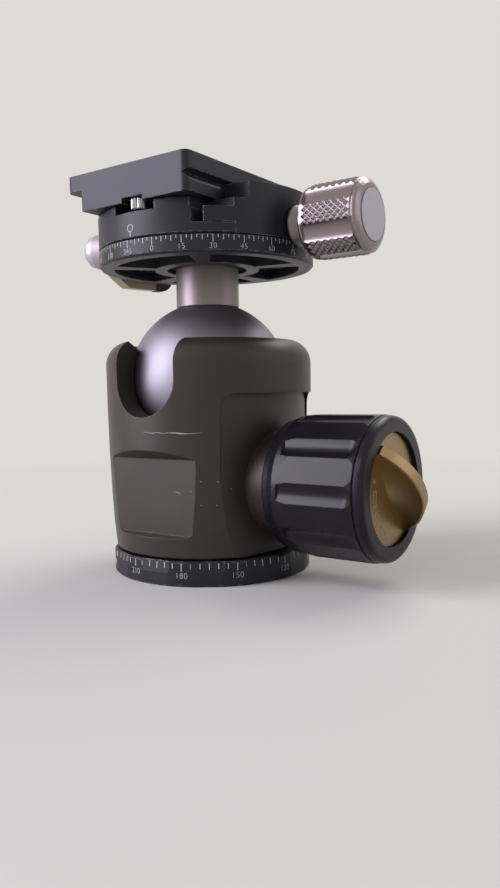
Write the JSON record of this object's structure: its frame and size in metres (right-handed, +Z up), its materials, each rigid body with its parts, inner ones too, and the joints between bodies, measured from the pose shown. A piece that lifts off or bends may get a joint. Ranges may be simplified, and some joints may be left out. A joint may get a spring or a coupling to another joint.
{
  "type": "tripod ball head",
  "caption": "Tripod ball head: panning base, drop-notch housing, ball and stem, lock knob with friction dial, panning screw-knob clamp and sliding camera plate.",
  "frame": {"origin": "centre of the base's bottom face, at the mouth of the tripod thread", "axes": "+Z up along the pan axis, +X along the main lock knob's axis, -Y towards the drop notch"},
  "size_m": [0.1079, 0.0735, 0.1196],
  "materials": {
    "black_satin": "black anodised satin",
    "brown_black": "brownish black anodised satin",
    "ball_grey": "hard anodised satin",
    "titanium": "titanium-coloured satin anodised",
    "steel": "machined",
    "champagne": "champagne anodised",
    "bronze": "turned bronze",
    "brass": "turned",
    "knob_black": "fine turned, black anodised",
    "liner_black": "moulded",
    "liner_white": "fluoropolymer",
    "rubber_black": "matt",
    "tip_brown": "matt"
  },
  "bodies": {
    "base": {"base_plate": "black_satin", "base_ring": "black_satin", "base_screws": "steel", "thread_insert": "steel", "pan_washer": "liner_white", "pan_retainer": "steel", "retainer_screws": "steel"},
    "housing": {"housing": "brown_black", "housing_floor": "black_satin", "cup_spacer": "black_satin", "wave_spring": "steel", "neck_liner": "liner_black", "lock_bush": "bronze"},
    "ball_cup": {"ball_cup": "bronze"},
    "ball_liner": {"ball_liner": "liner_white"},
    "ball": {"ball": "ball_grey", "stem": "titanium", "stem_bolt": "steel", "disc_pins": "steel", "pan_disc": "black_satin", "clamp_retainer": "steel", "clamp_screws": "steel", "clamp_bearing": "liner_white"},
    "lock_knob": {"lock_shaft": "steel", "shaft_clip": "steel", "knob_core": "steel", "knob_screw": "steel", "lock_knob": "knob_black", "dial_plate": "steel", "detent_ball": "steel", "detent_spring": "steel"},
    "lock_wedge": {"lock_wedge": "steel"},
    "friction_dial": {"friction_dial": "champagne", "dial_clip": "steel"},
    "pan_knob": {"pan_knob": "titanium", "pan_screw": "steel", "pan_knob_cap": "champagne"},
    "pan_shoe": {"pan_shoe": "brass"},
    "clamp": {"clamp_body": "black_satin", "guide_pins": "steel", "jaw_springs": "steel"},
    "lever_shoe": {"lever_shoe": "brass"},
    "pan_lever": {"pan_lever": "champagne", "lever_tip": "tip_brown", "lever_hub": "titanium", "lever_screw": "steel"},
    "jaw": {"moving_jaw": "black_satin", "jaw_washer": "bronze"},
    "clamp_knob": {"clamp_knob": "titanium", "knob_neck": "titanium", "clamp_knob_cap": "titanium", "clamp_screw": "steel"},
    "plate": {"release_plate": "black_satin", "plate_pads": "rubber_black", "stop_screws": "steel"},
    "screw_clip": {"screw_clip": "steel"},
    "camera_screw": {"camera_screw": "steel"}
  },
  "joints": [
    {"name": "base_pan", "type": "hinge", "parent": "base", "child": "housing", "pos_m": [0, 0, 0], "axis": [0, 0, 1], "continuous": true},
    {"name": "side_tilt", "type": "hinge", "parent": "housing", "child": "ball_liner", "pos_m": [0, 0, 0.056], "axis": [0, 1, 0], "range_deg": [-30, 30]},
    {"name": "drop_tilt", "type": "hinge", "parent": "ball_liner", "child": "ball", "pos_m": [0, 0, 0.056], "axis": [1, 0, 0], "range_deg": [-30, 90]},
    {"name": "lock_knob_turn", "type": "hinge", "parent": "housing", "child": "lock_knob", "pos_m": [0.045, 0, 0.0267], "axis": [1, 0, 0], "range_deg": [0, 540]},
    {"name": "wedge_slide", "type": "slide", "parent": "housing", "child": "lock_wedge", "axis": [1, 0, 0], "range_m": [-0.0016, 0]},
    {"name": "cup_slide", "type": "slide", "parent": "housing", "child": "ball_cup", "axis": [0, 0, 1], "range_m": [-0.00025, 0]},
    {"name": "friction_dial_turn", "type": "hinge", "parent": "lock_knob", "child": "friction_dial", "pos_m": [0.0589, 0, 0.0267], "axis": [1, 0, 0], "range_deg": [-120, 150]},
    {"name": "pan_knob_turn", "type": "hinge", "parent": "housing", "child": "pan_knob", "pos_m": [0, 0.035, 0.01305], "axis": [0, 1, 0], "range_deg": [0, 180]},
    {"name": "pan_shoe_slide", "type": "slide", "parent": "housing", "child": "pan_shoe", "axis": [0, 1, 0], "range_m": [0, 0.00042]},
    {"name": "clamp_pan", "type": "hinge", "parent": "ball", "child": "clamp", "pos_m": [0, 0, 0.0945], "axis": [0, 0, 1], "continuous": true},
    {"name": "pan_lever_turn", "type": "hinge", "parent": "clamp", "child": "pan_lever", "pos_m": [-0.03443, -0.01053, 0.0975], "axis": [-0.9563, -0.2924, 0], "range_deg": [-5, 18]},
    {"name": "lever_shoe_slide", "type": "slide", "parent": "clamp", "child": "lever_shoe", "axis": [-0.9563, -0.2924, 0], "range_m": [-0.00006, 0.00017]},
    {"name": "clamp_knob_turn", "type": "hinge", "parent": "jaw", "child": "clamp_knob", "pos_m": [0.04, 0, 0.0983], "axis": [1, 0, 0], "range_deg": [0, 1080]},
    {"name": "jaw_slide", "type": "slide", "parent": "clamp", "child": "jaw", "axis": [1, 0, 0], "range_m": [0, 0.0032]},
    {"name": "plate_slide", "type": "slide", "parent": "clamp", "child": "plate", "axis": [0, 1, 0], "range_m": [-0.005, 0.005]},
    {"name": "camera_screw_slide", "type": "slide", "parent": "plate", "child": "screw_clip", "axis": [0, 1, 0], "range_m": [-0.009, 0.009]},
    {"name": "camera_screw_turn", "type": "hinge", "parent": "screw_clip", "child": "camera_screw", "pos_m": [0, 0, 0.106], "axis": [0, 0, 1], "continuous": true}
  ],
  "couplings": [
    {"joint": "wedge_slide", "follows": "lock_knob_turn", "m_per_rad": -0.00015915},
    {"joint": "cup_slide", "follows": "lock_knob_turn", "m_per_rad": -0.000024669},
    {"joint": "pan_shoe_slide", "follows": "pan_knob_turn", "m_per_rad": 0.00012732},
    {"joint": "lever_shoe_slide", "follows": "pan_lever_turn", "m_per_rad": 0.00047746},
    {"joint": "jaw_slide", "follows": "clamp_knob_turn", "m_per_rad": 0.00015915}
  ]
}
